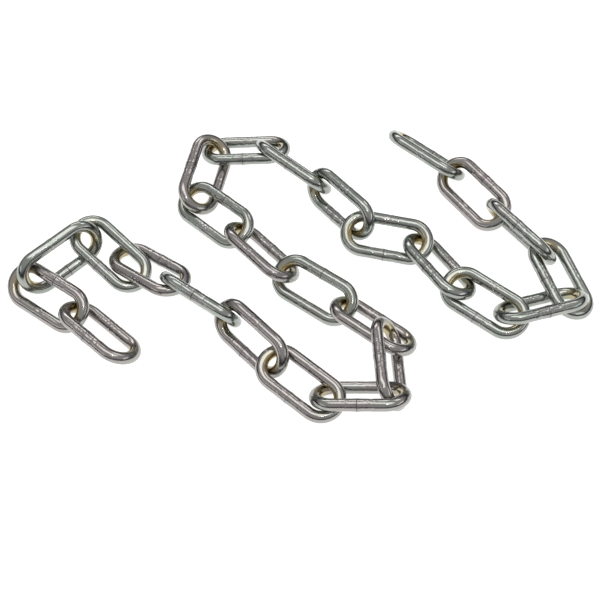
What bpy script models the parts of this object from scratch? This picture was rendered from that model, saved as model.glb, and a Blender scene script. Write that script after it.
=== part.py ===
"""A length of plated steel chain, laid down loosely so that it folds into a zig-zag.

Every link is a closed oval of round wire, hooked through the next one. Sizes are metres, apart
from the places of the links, which are millimetres.
"""
import math

import bmesh
import bpy
import numpy as np
from mathutils import Matrix

# Sizes of one link
WIRE = 0.006
INNER_LENGTH = 0.036
INNER_WIDTH = 0.012
WELD_SWELL = 0.00012
WELD_HALF_LENGTH = 0.0013

# Air left between two wires that touch, so that the links stay separate solids
CLEARANCE = 0.0003

# Fineness of the wire
SECTION_SIDES = 12
CROWN_STEPS = 8

# How each link lies, from the near left end to the far right end. A search that matched the
# chain's outline to the photograph gave these numbers. They weren't chosen by hand.
# Each row holds the middle of the link on the floor in millimetres (right, away), the way it
# points, how far it leans over on its side and how far it climbs, all three in degrees.
# The weld is on the side to the right of the way that the link points.
LAY = (
    (-97, -24, -41, -34, 0),
    (-123, -4, 146, -31, 0),
    (-120, 16, 40, 66, 6),
    (-95, 22, -39, 5, -17),
    (-75, 13, 143, 14, -10),
    (-49, -6, -35, -67, 0),
    (-21, -28, -46, 58, 1),
    (-1, -53, -38, 7, -5),
    (29, -61, -5, -35, 10),
    (42, -43, -86, -56, -2),
    (35, -20, 143, 32, 0),
    (7, 1, 145, -31, 0),
    (-20, 23, 133, 37, -1),
    (-44, 47, 138, -22, -4),
    (-53, 71, -103, -36, -5),
    (-32, 89, -4, -20, 8),
    (-5, 76, -37, -56, -6),
    (20, 52, -49, 68, 2),
    (44, 33, -12, 24, 0),
    (71, 16, -56, -29, 3),
    (93, -6, -35, 17, -4),
    (118, -10, 16, -38, 0),
    (130, 9, -69, -18, -6),
    (111, 35, -51, -66, 0),
    (90, 62, 127, -35, 0),
    (66, 86, 140, 47, 0),
)

# Settling of the links onto the floor and against each other
SWEEPS = 200
LAST_SWEEPS = 60
SLIDE = 0.00008
SAMPLE_STEP = 0.0012

RADIUS = WIRE / 2
CROWN = (INNER_WIDTH + WIRE) / 2
HALF_STRAIGHT = (INNER_LENGTH - INNER_WIDTH) / 2


def centre_line():
    """Returns points close together along the middle of the wire, in the faceted oval's shape."""
    corners = []
    for end in (1, -1):
        for i in range(CROWN_STEPS + 1):
            turn = math.pi * i / CROWN_STEPS - math.pi / 2
            across = CROWN * math.sin(turn)
            corners.append((end * (HALF_STRAIGHT + CROWN * math.cos(turn)), end * across, 0.0))
    corners = np.array(corners)
    points = []
    for start, stop in zip(corners, np.roll(corners, -1, axis=0)):
        count = max(1, round(float(np.linalg.norm(stop - start)) / SAMPLE_STEP))
        for i in range(count):
            points.append(start + (stop - start) * i / count)
    return np.array(points)


def axes(heading, lean, climb):
    """Returns the link's length, width and flat-side directions as the columns of a matrix."""
    way = math.radians(heading)
    tip = math.radians(lean)
    rise = math.radians(climb)
    length = np.array([
        math.cos(rise) * math.cos(way),
        math.cos(rise) * math.sin(way),
        math.sin(rise),
    ])
    level = np.array([-math.sin(way), math.cos(way), 0.0])
    upright = np.cross(length, level)
    width = level * math.cos(tip) + upright * math.sin(tip)
    return np.column_stack((length, width, np.cross(length, width)))


def nearest(first, second):
    """Returns the distance between two point rows and the way from the first to the second."""
    apart = second[None, :, :] - first[:, None, :]
    squares = np.einsum("ijk,ijk->ij", apart, apart)
    i, j = np.unravel_index(np.argmin(squares), squares.shape)
    distance = math.sqrt(float(squares[i, j]))
    return distance, apart[i, j] / distance


def settle(lines):
    """Moves links without turning them until neighbours just touch and each link lies down.

    Wires that overlap are pushed apart, neighbours that don't touch slide together, and each
    link drops until its lowest point is on the floor or its neighbours hold it up.
    """
    want = WIRE + CLEARANCE
    count = len(lines)
    reach = INNER_LENGTH + 2 * WIRE
    for sweep in range(SWEEPS + LAST_SWEEPS):
        sliding = sweep < SWEEPS
        for i in range(count):
            for j in range(i + 1, count):
                if np.linalg.norm(lines[i].mean(axis=0) - lines[j].mean(axis=0)) > reach:
                    continue
                distance, way = nearest(lines[i], lines[j])
                step = want - distance
                if step < 0:
                    step = max(step, -SLIDE) if j == i + 1 and sliding else 0.0
                lines[i] -= way * step / 2
                lines[j] += way * step / 2
        for line in lines:
            low = float(line[:, 2].min()) - RADIUS
            if low < 0 or sliding:
                line[:, 2] -= min(low, SLIDE)


def placed_links():
    """Returns the middle and the axes of each link once it has come to lie."""
    line = centre_line()
    turns = [axes(heading, lean, climb) for x, y, heading, lean, climb in LAY]
    lines = []
    for (x, y, heading, lean, climb), turn in zip(LAY, turns):
        laid = line @ turn.T
        laid += np.array([x / 1000, y / 1000, RADIUS - laid[:, 2].min()])
        lines.append(laid)
    settle(lines)
    return [(laid[0] - turn @ line[0], turn) for laid, turn in zip(lines, turns)]


def sweep_crown(build, rim, end):
    """Bends the wire half round one end of the link and returns its last rim."""
    bend = bmesh.ops.spin(
        build,
        geom=rim,
        cent=(end * HALF_STRAIGHT, 0, 0),
        axis=(0, 0, 1),
        angle=math.pi,
        steps=CROWN_STEPS,
    )
    return [edge for edge in bend["geom_last"] if isinstance(edge, bmesh.types.BMEdge)]


def draw_on(build, rim, along, growth=1.0):
    """Draws the wire on in a straight line to the place given along the link."""
    drawn = bmesh.ops.extrude_edge_only(build, edges=rim)["geom"]
    verts = [item for item in drawn if isinstance(item, bmesh.types.BMVert)]
    across = sum((vert.co.y for vert in verts)) / len(verts)
    for vert in verts:
        vert.co.x = along
        vert.co.y = across + (vert.co.y - across) * growth
        vert.co.z *= growth
    return [item for item in drawn if isinstance(item, bmesh.types.BMEdge)]


def link_mesh():
    """Returns one link lying flat at the origin: two crowns, two straights and the weld."""
    build = bmesh.new()
    start = Matrix.Translation((HALF_STRAIGHT, -CROWN, 0)) @ Matrix.Rotation(math.pi / 2, 4, "Y")
    bmesh.ops.create_circle(build, segments=SECTION_SIDES, radius=RADIUS, matrix=start)
    rim = sweep_crown(build, build.edges[:], 1)
    rim = draw_on(build, rim, -HALF_STRAIGHT)
    rim = sweep_crown(build, rim, -1)
    swell = 1 + WELD_SWELL / RADIUS
    rim = draw_on(build, rim, -WELD_HALF_LENGTH)
    rim = draw_on(build, rim, 0, swell)
    rim = draw_on(build, rim, WELD_HALF_LENGTH, 1 / swell)
    rim = draw_on(build, rim, HALF_STRAIGHT)
    bmesh.ops.remove_doubles(build, verts=build.verts[:], dist=0.00001)
    bmesh.ops.recalc_face_normals(build, faces=build.faces[:])
    mesh = bpy.data.meshes.new("link")
    build.to_mesh(mesh)
    build.free()
    mesh.shade_smooth()
    return mesh


def steel(name):
    """Returns the bright plated steel of one link."""
    material = bpy.data.materials.new(name)
    material.use_nodes = True
    shader = material.node_tree.nodes["Principled BSDF"]
    shader.inputs["Base Color"].default_value = (0.66, 0.66, 0.65, 1.0)
    shader.inputs["Metallic"].default_value = 1.0
    shader.inputs["Roughness"].default_value = 0.22
    return material


def main():
    for old in list(bpy.data.objects):
        bpy.data.objects.remove(old, do_unlink=True)
    shape = link_mesh()
    surface = np.array([vert.co for vert in shape.vertices])
    placed = placed_links()
    every = np.concatenate([middle + surface @ turn.T for middle, turn in placed])
    low = every.min(axis=0)
    high = every.max(axis=0)
    base = np.array([(low[0] + high[0]) / 2, (low[1] + high[1]) / 2, low[2]])
    for number, (middle, turn) in enumerate(placed, start=1):
        name = f"link_{number:02d}"
        link = bpy.data.objects.new(name, shape.copy())
        link.data.materials.append(steel(name + "_steel"))
        link.location = middle - base
        link.rotation_euler = Matrix(turn.tolist()).to_euler()
        bpy.context.scene.collection.objects.link(link)
    bpy.data.meshes.remove(shape)


main()
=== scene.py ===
"""A length of bright plated steel chain, laid loosely in a zig-zag on a pale floor.

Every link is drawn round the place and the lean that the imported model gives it.
"""
import math

import bpy
import numpy as np
from bpy.props import FloatProperty, FloatVectorProperty, IntProperty, PointerProperty
from mathutils import Euler, Matrix, Vector


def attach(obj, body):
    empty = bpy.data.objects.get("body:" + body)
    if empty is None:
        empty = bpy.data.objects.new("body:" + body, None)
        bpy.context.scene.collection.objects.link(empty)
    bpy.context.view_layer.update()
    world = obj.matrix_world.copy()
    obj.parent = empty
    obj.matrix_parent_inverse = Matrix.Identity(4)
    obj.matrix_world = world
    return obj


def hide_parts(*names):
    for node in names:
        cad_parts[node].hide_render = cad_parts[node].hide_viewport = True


bl_info = {
    "name": "Loosely laid chain",
    "version": (1, 0, 0),
    "blender": (4, 5, 0),
    "location": "View3D > Sidebar > Chain",
    "description": "Draws a plated long-link chain as it lies, with its floor, lights and camera",
    "category": "Object",
}

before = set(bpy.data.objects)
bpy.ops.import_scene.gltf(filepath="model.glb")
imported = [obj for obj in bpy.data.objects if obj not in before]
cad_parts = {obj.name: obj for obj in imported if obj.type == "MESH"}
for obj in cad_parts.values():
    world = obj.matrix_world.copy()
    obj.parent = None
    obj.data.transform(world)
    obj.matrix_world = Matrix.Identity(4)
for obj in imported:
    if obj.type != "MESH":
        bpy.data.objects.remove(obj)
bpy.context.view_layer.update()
LINK_NODES = sorted(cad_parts)
PIECE = "chain_links"
SEED = 7

# The links whose plate has a pink bloom in the photograph, counted from the near end.
PINK_LINKS = (1, 2, 5, 7, 8, 9, 10, 11, 13, 15, 25)

# Distances along the wire, in metres: from the weld, or from the point opposite it.
SWELL_REACH = 0.0013
CREASE_REACH = 0.0002
SEAM_REACH = 0.00026
HEAT_REACH = 0.0028
JAW_PLACE = 0.0058
JAW_REACH = 0.0022
BACK_JAW_PLACE = 0.0010
BACK_JAW_REACH = 0.0034
SPARKLE_PLACE = 0.0062
SPARKLE_REACH = 0.0030
BACK_SPARKLE_REACH = 0.0062

# How close the rings of the surface crowd together at the weld and opposite it: 0 is even.
CROWDING = 0.6


def lay_of(node):
    """Returns the middle of a link and its length, width and flat-side directions.

    The width points away from the weld, which the solid marks with extra rings on one side.
    """
    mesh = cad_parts[node].data
    corners = np.zeros(len(mesh.vertices) * 3, np.float32)
    mesh.vertices.foreach_get("co", corners)
    corners = np.unique(np.round(corners.reshape(-1, 3).astype(float), 6), axis=0)
    spread = np.linalg.eigh(np.cov((corners - corners.mean(axis=0)).T))[1]
    middle = np.zeros(3)
    for way in spread.T:
        along = corners @ way
        middle += way * (along.min() + along.max()) / 2
    length = spread[:, 2]
    width = spread[:, 1]
    if (corners.mean(axis=0) - middle) @ width > 0:
        width = -width
    return middle, length, width, np.cross(length, width)


class Number:
    """A number on its way through a node tree, so that a formula can be written as one."""

    def __init__(self, bench, socket):
        self.bench = bench
        self.socket = socket

    def __add__(self, other):
        return self.bench.sum("ADD", self, other)

    def __radd__(self, other):
        return self.bench.sum("ADD", other, self)

    def __sub__(self, other):
        return self.bench.sum("SUBTRACT", self, other)

    def __rsub__(self, other):
        return self.bench.sum("SUBTRACT", other, self)

    def __mul__(self, other):
        return self.bench.sum("MULTIPLY", self, other)

    def __truediv__(self, other):
        return self.bench.sum("DIVIDE", self, other)

    def __neg__(self):
        return self.bench.sum("MULTIPLY", self, -1.0)

    def __abs__(self):
        return self.bench.sum("ABSOLUTE", self)

    def squared(self):
        return self.bench.sum("MULTIPLY", self, self)

    def sine(self):
        return self.bench.sum("SINE", self)

    def cosine(self):
        return self.bench.sum("COSINE", self)

    def within(self, low, high):
        """Holds the number between two others."""
        return self.bench.sum("MAXIMUM", self.bench.sum("MINIMUM", self, high), low)

    def step(self, low, high):
        """Rises smoothly from 0 to 1 as the number goes from low to high."""
        node = self.bench.add(
            "ShaderNodeMapRange",
            {"interpolation_type": "SMOOTHSTEP"},
            {0: self, 1: low, 2: high, 3: 0.0, 4: 1.0},
        )
        return Number(self.bench, node.outputs[0])

    def hump(self, width):
        """Is 1 where the number is 0 and falls off over the width on both sides."""
        return self.bench.sum("EXPONENT", -(self / width).squared())


class Bench:
    """Adds nodes to one tree and joins them."""

    def __init__(self, tree):
        self.tree = tree

    def join(self, socket, value):
        if isinstance(value, Number):
            value = value.socket
        if isinstance(value, bpy.types.NodeSocket):
            self.tree.links.new(value, socket)
        else:
            socket.default_value = value

    def add(self, kind, settings=None, sockets=None):
        """Adds a node: its settings first, a ramp's stops among them, and then its sockets."""
        node = self.tree.nodes.new(kind)
        for key, value in (settings or {}).items():
            if key == "stops":
                self.set_stops(node.color_ramp.elements, value)
            else:
                setattr(node, key, value)
        for key, value in (sockets or {}).items():
            self.join(node.inputs[key], value)
        return node

    def set_stops(self, elements, stops):
        while len(elements) < len(stops):
            elements.new(0.5)
        for element, (place, colour) in zip(elements, stops):
            element.position = place
            element.color = (*colour, 1.0)

    def sum(self, operation, *values):
        sockets = dict(enumerate(values))
        return Number(self, self.add("ShaderNodeMath", {"operation": operation}, sockets).outputs[0])

    def vector(self, x, y, z):
        return self.add("ShaderNodeCombineXYZ", None, {0: x, 1: y, 2: z}).outputs[0]

    def parts(self, vector):
        node = self.add("ShaderNodeSeparateXYZ", None, {0: vector})
        return tuple(Number(self, socket) for socket in node.outputs)

    def noise(self, vector, scale, detail=2.0, roughness=0.5, w=None):
        """Returns smooth noise between 0 and 1."""
        settings = {"noise_dimensions": "3D" if w is None else "4D"}
        sockets = {"Vector": vector, "Scale": scale, "Detail": detail, "Roughness": roughness}
        if w is not None:
            sockets["W"] = w
        return Number(self, self.add("ShaderNodeTexNoise", settings, sockets).outputs[0])

    def blend(self, share, first, second):
        """Mixes two colours."""
        node = self.add("ShaderNodeMix", {"data_type": "RGBA"}, {0: share, 6: first, 7: second})
        return node.outputs[2]


class ChainLinkSizes(bpy.types.PropertyGroup):
    wire: FloatProperty(
        name="Wire diameter", description="Thickness of the round wire",
        default=0.006, unit="LENGTH", precision=4,
    )
    inner_length: FloatProperty(
        name="Inner length", description="Length of the link's window",
        default=0.036, unit="LENGTH", precision=4,
    )
    inner_width: FloatProperty(
        name="Inner width", description="Width of the link's window",
        default=0.012, unit="LENGTH", precision=4,
    )
    weld_swell: FloatProperty(
        name="Weld swell", description="How far the butt weld stands out of the wire",
        default=0.00012, unit="LENGTH", precision=5,
    )
    clamp_dent: FloatProperty(
        name="Clamp dent", description="Depth of the marks that the welding clamps leave",
        default=0.00016, unit="LENGTH", precision=5,
    )
    rings: IntProperty(
        name="Rings", description="Rings of the surface round one link", default=116, min=24,
    )
    sides: IntProperty(
        name="Sides", description="Sides of the surface round the wire", default=28, min=8,
    )


class PlatingColours(bpy.types.PropertyGroup):
    silver: FloatVectorProperty(
        name="Silver", description="The plate where it is clean",
        default=(0.355, 0.375, 0.35), subtype="COLOR", size=3,
    )
    mauve: FloatVectorProperty(
        name="Mauve", description="The pink-grey bloom along the straight sides",
        default=(0.35, 0.325, 0.315), subtype="COLOR", size=3,
    )
    green_grey: FloatVectorProperty(
        name="Green grey", description="The cooler patches of the plate",
        default=(0.295, 0.325, 0.29), subtype="COLOR", size=3,
    )
    straw: FloatVectorProperty(
        name="Straw", description="The yellow bloom inside the bends",
        default=(0.50, 0.42, 0.24), subtype="COLOR", size=3,
    )
    umber: FloatVectorProperty(
        name="Umber", description="The dull brown lines that drawing left along the wire",
        default=(0.17, 0.155, 0.14), subtype="COLOR", size=3,
    )
    heat: FloatVectorProperty(
        name="Heat tint", description="The tint on both sides of the weld",
        default=(0.32, 0.305, 0.30), subtype="COLOR", size=3,
    )
    seam: FloatVectorProperty(
        name="Seam", description="The dark line of the weld",
        default=(0.055, 0.055, 0.05), subtype="COLOR", size=3,
    )


class StudioSettings(bpy.types.PropertyGroup):
    floor: FloatVectorProperty(
        name="Floor", description="Colour of the floor", default=(0.62, 0.62, 0.62),
        subtype="COLOR", size=3,
    )
    glow: FloatProperty(
        name="Floor glow", description="Light that comes through the floor from below",
        default=0.84,
    )
    box_power: FloatProperty(
        name="Soft box power", description="Power of each large light",
        default=1.8, unit="POWER",
    )
    lamp_power: FloatProperty(
        name="Lamp power", description="Power of the small lamp that makes the wire sparkle",
        default=0.30, unit="POWER",
    )
    air: FloatProperty(
        name="Air", description="Brightness of the room overhead", default=0.58,
    )
    air_colour: FloatVectorProperty(
        name="Air colour", description="Tint of the room overhead",
        default=(1.0, 0.97, 0.975), subtype="COLOR", size=3,
    )
    lens: FloatProperty(
        name="Lens", description="Focal length of the camera in millimetres", default=68.15,
    )
    height_angle: FloatProperty(
        name="Height angle", description="How far above the floor the camera looks from",
        default=math.radians(57.4), subtype="ANGLE",
    )
    turn: FloatProperty(
        name="Turn", description="How far the camera stands round to the right",
        default=math.radians(0.51), subtype="ANGLE",
    )
    distance: FloatProperty(
        name="Distance", description="From the camera to the point that it looks at",
        default=0.5654, unit="LENGTH",
    )
    aim: FloatVectorProperty(
        name="Aim", description="The point on the floor in the middle of the picture",
        default=(0.0, -0.0163, 0.0), subtype="TRANSLATION", unit="LENGTH", size=3,
    )


def group_input(tree, name, kind):
    """Adds a named input to a node group and returns the key that a modifier sets it by."""
    return tree.interface.new_socket(name=name, in_out="INPUT", socket_type=kind).identifier


def oval_line(bench, size):
    """Draws the middle of the wire round a link from the weld, and its run from there.

    The run is denser at the weld and opposite it, where the surface is marked.
    """
    bend = (size["Inner Width"] + size["Wire Diameter"]) / 2
    half = (size["Inner Length"] - size["Inner Width"]) / 2
    girth = half * 4 + bend * (2 * math.pi)
    ring = Number(bench, bench.add("GeometryNodeInputIndex").outputs[0])
    share = ring / size["Rings"]
    run = girth * (share - (share * (4 * math.pi)).sine() * (CROWDING / (4 * math.pi)))
    first = (run - half) / bend
    second = (run - half * 3 - bend * math.pi) / bend
    turn = first.within(0.0, math.pi) + second.within(0.0, math.pi)
    back = (run - half - bend * math.pi).within(0.0, half * 2)
    home = (run - half * 3 - bend * (2 * math.pi)).within(0.0, half)
    along = run.within(0.0, half) - back + home + turn.sine() * bend
    across = -(turn.cosine() * bend)
    circle = bench.add("GeometryNodeCurvePrimitiveCircle", None, {"Resolution": size["Rings"]})
    placed = bench.add(
        "GeometryNodeSetPosition",
        None,
        {"Geometry": circle.outputs[0], "Position": bench.vector(along, across, 0.0)},
    )
    upright = bench.add("GeometryNodeSetCurveNormal", {"mode": "Z_UP"}, {0: placed.outputs[0]})
    return upright.outputs[0], run, turn, girth


def keep(bench, geometry, name, kind, value):
    """Stores a value on every point under a name, for the later nodes and the material."""
    settings = {"data_type": kind, "domain": "POINT"}
    sockets = {"Geometry": geometry, "Name": name, "Value": value}
    return bench.add("GeometryNodeStoreNamedAttribute", settings, sockets).outputs[0]


def kept(bench, name, kind):
    """Returns a stored value."""
    node = bench.add("GeometryNodeInputNamedAttribute", {"data_type": kind}, {"Name": name})
    return node.outputs[0]


def link_tree():
    """Builds the node group that draws a link round every point it is given."""
    tree = bpy.data.node_groups.new("Links of a chain", "GeometryNodeTree")
    tree.interface.new_socket(name="Geometry", in_out="INPUT", socket_type="NodeSocketGeometry")
    inputs = {}
    for name, kind in (
        ("Wire Diameter", "NodeSocketFloat"),
        ("Inner Length", "NodeSocketFloat"),
        ("Inner Width", "NodeSocketFloat"),
        ("Weld Swell", "NodeSocketFloat"),
        ("Clamp Dent", "NodeSocketFloat"),
        ("Rings", "NodeSocketInt"),
        ("Sides", "NodeSocketInt"),
        ("Seed", "NodeSocketInt"),
        ("Steel", "NodeSocketMaterial"),
    ):
        inputs[name] = group_input(tree, name, kind)
    tree.interface.new_socket(name="Geometry", in_out="OUTPUT", socket_type="NodeSocketGeometry")
    bench = Bench(tree)
    given = bench.add("NodeGroupInput")
    size = {name: Number(bench, given.outputs[name]) for name in inputs}

    oval, run, turn, girth = oval_line(bench, size)
    oval = keep(bench, oval, "run", "FLOAT", run)
    oval = keep(bench, oval, "turn", "FLOAT", turn)
    rim = bench.add(
        "GeometryNodeCurvePrimitiveCircle",
        None,
        {"Resolution": size["Sides"], "Radius": size["Wire Diameter"] / 2},
    ).outputs[0]
    side = Number(bench, bench.add("GeometryNodeInputIndex").outputs[0])
    angle = side / size["Sides"] * (2 * math.pi)
    rim = keep(bench, rim, "round", "FLOAT_VECTOR", bench.vector(angle.cosine(), angle.sine(), 0.0))
    tube = bench.add("GeometryNodeCurveToMesh", None, {0: oval, 1: rim}).outputs[0]
    place = bench.add("GeometryNodeInputPosition").outputs[0]
    tube = keep(bench, tube, "link_place", "FLOAT_VECTOR", place)
    run = Number(bench, kept(bench, "run", "FLOAT"))
    tube = keep(bench, tube, "from_weld", "FLOAT", girth / 2 - abs(run - girth / 2))
    tube = keep(bench, tube, "from_back", "FLOAT", abs(run - girth / 2))

    chance = bench.add(
        "FunctionNodeRandomValue", {"data_type": "FLOAT"}, {"Seed": size["Seed"]}
    ).outputs[1]
    points = keep(bench, given.outputs["Geometry"], "link_tone", "FLOAT", chance)
    laid = bench.add(
        "GeometryNodeInstanceOnPoints",
        None,
        {"Points": points, "Instance": tube, "Rotation": kept(bench, "link_way", "QUATERNION")},
    )
    chain = bench.add("GeometryNodeRealizeInstances", None, {0: laid.outputs[0]}).outputs[0]

    tone = Number(bench, kept(bench, "link_tone", "FLOAT"))
    spot = kept(bench, "link_place", "FLOAT_VECTOR")
    from_weld = Number(bench, kept(bench, "from_weld", "FLOAT"))
    from_back = Number(bench, kept(bench, "from_back", "FLOAT"))
    coarse = bench.noise(spot, 620.0, 1.0, 0.5, tone * 40)
    fine = bench.noise(spot, 1500.0, 1.0, 0.5, tone * 40 + 7)
    swell = from_weld.hump(SWELL_REACH) * size["Weld Swell"]
    crease = from_weld.hump(CREASE_REACH) * (fine * 0.00006 + 0.00003)
    at_jaws = (from_weld - JAW_PLACE).hump(JAW_REACH)
    at_back = (from_back - BACK_JAW_PLACE).hump(BACK_JAW_REACH) * 0.8
    dents = (at_jaws + at_back) * (coarse - 0.42).within(0.0, 0.3) * (size["Clamp Dent"] * 3.4)
    waves = (bench.noise(spot, 210.0, 1.0, 0.5, tone * 40 + 3) - 0.5) * 0.00004
    normal = bench.add("GeometryNodeInputNormal").outputs[0]
    lift = swell - crease - dents + waves
    offset = bench.add(
        "ShaderNodeVectorMath", {"operation": "SCALE"}, {0: normal, "Scale": lift}
    ).outputs[0]
    chain = bench.add("GeometryNodeSetPosition", None, {0: chain, "Offset": offset}).outputs[0]
    chain = bench.add("GeometryNodeSetShadeSmooth", None, {0: chain}).outputs[0]
    chain = bench.add("GeometryNodeRealizeInstances", None, {0: chain}).outputs[0]
    chain = bench.add("GeometryNodeSetMaterial", None, {0: chain, "Material": size["Steel"]})
    bench.add("NodeGroupOutput", None, {0: chain.outputs[0]})
    return tree, inputs


def middles_mesh():
    """Returns one point for each link, with the way that the link lies."""
    lays = [lay_of(node) for node in LINK_NODES]
    mesh = bpy.data.meshes.new("link_middles")
    mesh.from_pydata([tuple(middle) for middle, length, width, flat in lays], [], [])
    mesh.attributes.new("link_way", "QUATERNION", "POINT")
    mesh.attributes.new("link_bloom", "FLOAT", "POINT")
    for i, (middle, length, width, flat) in enumerate(lays):
        turn = Matrix(np.column_stack((length, width, flat)).tolist())
        mesh.attributes["link_way"].data[i].value = turn.to_quaternion()
        mesh.attributes["link_bloom"].data[i].value = 1.0 if i + 1 in PINK_LINKS else 0.0
    return mesh


def plain_mesh(name, mesh, tree, values):
    """Runs a node group over a mesh once and returns the result as a plain object."""
    carrier = bpy.data.objects.new(name + "_carrier", mesh)
    bpy.context.scene.collection.objects.link(carrier)
    modifier = carrier.modifiers.new("Links", "NODES")
    modifier.node_group = tree
    for identifier, value in values.items():
        modifier[identifier] = value
    depsgraph = bpy.context.evaluated_depsgraph_get()
    made = bpy.data.meshes.new_from_object(
        carrier.evaluated_get(depsgraph), preserve_all_data_layers=True, depsgraph=depsgraph
    )
    made.name = name
    bpy.data.objects.remove(carrier, do_unlink=True)
    bpy.data.meshes.remove(mesh)
    piece = bpy.data.objects.new(name, made)
    bpy.context.scene.collection.objects.link(piece)
    return piece


def plate_colour(bench, look, place, noises):
    """Returns the colour of the plate and how strongly the weld's heat and seam show."""
    drawn, hairs, clouds, patches = noises
    bent = place["turn"].sine().squared()

    colour = bench.blend(clouds.step(0.35, 0.68), (*look.silver, 1), (*look.green_grey, 1))
    # Pink patches are the plate's own tint; halving them on the bends is a painted reflection of the
    # pale floor on the crowns.
    pink = (patches + place["bloom"] * 0.30 - 0.16).step(0.38, 0.60) * (1 - bent * 0.5) * 0.9
    colour = bench.blend(pink, colour, (*look.mauve, 1))
    # Yellow on the inner side of each bend, the side that faces the link's window.
    inner = bent * (-place["outward"]).step(-0.35, 0.85) * (clouds * 0.9 + 0.45)
    colour = bench.blend(inner.within(0.0, 0.9), colour, (*look.straw, 1))
    dull = drawn.step(0.50, 0.72) * 0.45 + (1 - hairs.step(0.26, 0.46)) * 0.20
    colour = bench.blend(dull.within(0.0, 0.8), colour, (*look.umber, 1))
    heat = place["from_weld"].hump(HEAT_REACH) * (clouds * 0.7 + 0.15)
    colour = bench.blend(heat.within(0.0, 0.8), colour, (*look.heat, 1))
    seam = place["from_weld"].hump(SEAM_REACH) * (clouds * 2.4 - 0.5)
    colour = bench.blend(seam.within(0.0, 0.95), colour, (*look.seam, 1))
    return colour, heat, seam


def plated_steel(look):
    """Returns the plated wire: bright, faintly clouded, streaked along its length."""
    material = bpy.data.materials.new("plated_steel")
    material.use_nodes = True
    tree = material.node_tree
    tree.nodes.clear()
    bench = Bench(tree)

    def stored(name, output="Fac"):
        return bench.add("ShaderNodeAttribute", {"attribute_name": name}).outputs[output]

    from_weld = Number(bench, stored("from_weld"))
    from_back = Number(bench, stored("from_back"))
    tone = Number(bench, stored("link_tone"))
    outward, upward = bench.parts(stored("round", "Vector"))[:2]
    spot = stored("link_place", "Vector")
    place = {
        "from_weld": from_weld,
        "outward": outward,
        "turn": Number(bench, stored("turn")),
        "bloom": Number(bench, stored("link_bloom")),
    }

    # Streaks follow the wire: their noise runs round it quickly and along it slowly.
    streaks = bench.vector(outward + tone * 9, upward, from_weld * 22)
    threads = bench.vector(outward + tone * 5, upward, from_weld * 16)
    drawn = bench.noise(streaks, 3.2, 3.0, 0.6)
    hairs = bench.noise(threads, 11.0, 2.0, 0.6)
    clouds = bench.noise(spot, 150.0, 3.0, 0.6, tone * 30)
    patches = bench.noise(spot, 55.0, 2.0, 0.5, tone * 30 + 11)
    grains = bench.noise(spot, 2200.0, 2.0, 0.6, tone * 30)
    colour, heat, seam = plate_colour(bench, look, place, (drawn, hairs, clouds, patches))

    # The welding clamps and the anvil opposite them leave small facets, which sparkle.
    clamped = (from_weld - SPARKLE_PLACE).hump(SPARKLE_REACH)
    clamped = clamped + from_back.hump(BACK_SPARKLE_REACH) * patches.step(0.38, 0.60)
    height = drawn * 0.6 + hairs * 0.15 + grains * 0.05
    height = height + clamped * bench.noise(spot, 560.0, 2.0) * 8.0
    bump = bench.add(
        "ShaderNodeBump", None, {"Strength": 0.20, "Distance": 0.00016, "Height": height}
    )
    rough = 0.10 + drawn * 0.10 + clouds * 0.06 + seam * 0.2 + heat * 0.06
    shader = bench.add(
        "ShaderNodeBsdfPrincipled",
        None,
        {
            "Base Color": colour,
            "Metallic": 1.0,
            "Roughness": rough.within(0.08, 0.6),
            "Normal": bump.outputs[0],
        },
    )
    bench.add("ShaderNodeOutputMaterial", None, {0: shader.outputs[0]})
    return material


class CHAIN_OT_links(bpy.types.Operator):
    """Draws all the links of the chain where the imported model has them"""
    bl_idname = "chain.links"
    bl_label = "Lay the links"

    def execute(self, context):
        size = context.scene.chain_sizes
        tree, inputs = link_tree()
        values = {
            inputs["Wire Diameter"]: size.wire,
            inputs["Inner Length"]: size.inner_length,
            inputs["Inner Width"]: size.inner_width,
            inputs["Weld Swell"]: size.weld_swell,
            inputs["Clamp Dent"]: size.clamp_dent,
            inputs["Rings"]: size.rings,
            inputs["Sides"]: size.sides,
            inputs["Seed"]: SEED,
            inputs["Steel"]: plated_steel(context.scene.chain_colours),
        }
        links = plain_mesh(PIECE, middles_mesh(), tree, values)
        if len(links.data.polygons) < len(LINK_NODES) * size.rings:
            raise RuntimeError("the links were not drawn")
        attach(links, "root")
        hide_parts(*LINK_NODES)
        return {"FINISHED"}


def soft_box(name, place, width, height, power):
    """Adds a soft rectangular light that faces the middle of the chain."""
    light = bpy.data.lights.new(name, "AREA")
    light.shape = "RECTANGLE"
    light.size = width
    light.size_y = height
    light.energy = power
    lamp = bpy.data.objects.new(name, light)
    lamp.location = place
    lamp.rotation_euler = (-Vector(place)).to_track_quat("-Z", "Y").to_euler()
    bpy.context.scene.collection.objects.link(lamp)


def studio_floor(colour, glow):
    """Adds the pale floor that the chain lies on."""
    mesh = bpy.data.meshes.new("studio_floor")
    reach = 20.0
    corners = [(-reach, -reach, 0), (reach, -reach, 0), (reach, reach, 0), (-reach, reach, 0)]
    mesh.from_pydata(corners, [], [(0, 1, 2, 3)])
    material = bpy.data.materials.new("pale_floor")
    material.use_nodes = True
    shader = material.node_tree.nodes["Principled BSDF"]
    shader.inputs["Base Color"].default_value = (*colour, 1.0)
    shader.inputs["Roughness"].default_value = 0.9
    shader.inputs["Specular IOR Level"].default_value = 0.1
    shader.inputs["Emission Color"].default_value = (1.0, 1.0, 1.0, 1.0)
    shader.inputs["Emission Strength"].default_value = glow
    mesh.materials.append(material)
    floor = bpy.data.objects.new("studio_floor", mesh)
    bpy.context.scene.collection.objects.link(floor)
    return floor


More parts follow.
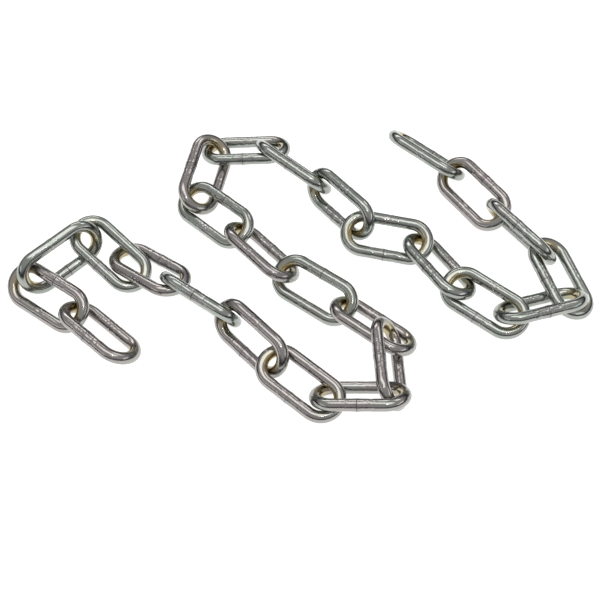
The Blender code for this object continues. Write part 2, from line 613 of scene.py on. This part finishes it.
def studio_air(strength, colour):
    """Returns the room's own light: near black low down, dusky above that, soft overhead."""
    world = bpy.data.worlds.new("studio_air")
    world.use_nodes = True
    world.node_tree.nodes.clear()
    bench = Bench(world.node_tree)
    up = bench.parts(bench.add("ShaderNodeTexCoord").outputs["Generated"])[2]
    dim = tuple(value * 0.05 for value in colour)
    dusk = (colour[0] * 0.45, colour[1] * 0.42, colour[2] * 0.52)
    stops = ((0.0, dim), (0.23, dim), (0.32, dusk), (0.54, colour), (1.0, colour))
    ramp = bench.add("ShaderNodeValToRGB", {"stops": stops}, {0: up})
    light = bench.add("ShaderNodeBackground", None, {0: ramp.outputs[0], 1: strength})
    bench.add("ShaderNodeOutputWorld", None, {0: light.outputs[0]})
    return world


class CHAIN_OT_studio(bpy.types.Operator):
    """Adds the pale floor, the soft lights and the camera"""
    bl_idname = "chain.studio"
    bl_label = "Set up the studio"

    def execute(self, context):
        scene = context.scene
        studio = scene.chain_studio
        studio_floor(studio.floor, studio.glow)

        # The lights: name, place, width, length and share of the full power.
        for name, place, width, length, share in (
            ("far_box", (-0.22, 0.80, 0.58), 0.55, 0.22, 0.55),
            ("overhead_box", (-0.04, 0.02, 0.92), 0.42, 1.0, 1.35),
            ("back_box", (0.42, 0.54, 0.72), 0.34, 0.22, 0.30),
            ("left_box", (-0.85, -0.45, 0.42), 0.7, 0.16, 0.24),
            ("right_box", (0.85, -0.30, 0.45), 0.7, 0.16, 0.30),
        ):
            soft_box(name, place, width, length, studio.box_power * share)
        soft_box("small_lamp", (0.05, -0.33, 0.86), 0.05, 0.05, studio.lamp_power)

        scene.world = studio_air(studio.air, studio.air_colour)
        scene.view_settings.view_transform = "Standard"

        camera = bpy.data.cameras.new("photo_view")
        camera.lens = studio.lens
        camera.sensor_width = 36.0
        camera.clip_start = 0.01
        eye = bpy.data.objects.new("photo_view", camera)
        look = Euler((math.pi / 2 - studio.height_angle, 0.0, studio.turn))
        eye.location = Vector(studio.aim) + look.to_matrix() @ Vector((0, 0, studio.distance))
        eye.rotation_euler = look
        scene.collection.objects.link(eye)
        scene.camera = eye
        return {"FINISHED"}


class CHAIN_PT_panel(bpy.types.Panel):
    bl_idname = "CHAIN_PT_panel"
    bl_label = "Chain"
    bl_space_type = "VIEW_3D"
    bl_region_type = "UI"
    bl_category = "Chain"

    def draw(self, context):
        for group in (
            context.scene.chain_sizes,
            context.scene.chain_colours,
            context.scene.chain_studio,
        ):
            box = self.layout.box()
            for name in group.bl_rna.properties.keys():
                if name not in ("rna_type", "name"):
                    box.prop(group, name)
        for operator in (CHAIN_OT_links, CHAIN_OT_studio):
            self.layout.operator(operator.bl_idname)


CLASSES = (
    ChainLinkSizes,
    PlatingColours,
    StudioSettings,
    CHAIN_OT_links,
    CHAIN_OT_studio,
    CHAIN_PT_panel,
)


def register():
    for cls in CLASSES:
        bpy.utils.register_class(cls)
    bpy.types.Scene.chain_sizes = PointerProperty(type=ChainLinkSizes)
    bpy.types.Scene.chain_colours = PointerProperty(type=PlatingColours)
    bpy.types.Scene.chain_studio = PointerProperty(type=StudioSettings)


def unregister():
    del bpy.types.Scene.chain_studio
    del bpy.types.Scene.chain_colours
    del bpy.types.Scene.chain_sizes
    for cls in reversed(CLASSES):
        bpy.utils.unregister_class(cls)


def main():
    register()
    bpy.ops.chain.links()
    bpy.ops.chain.studio()


if __name__ == "__main__":
    main()
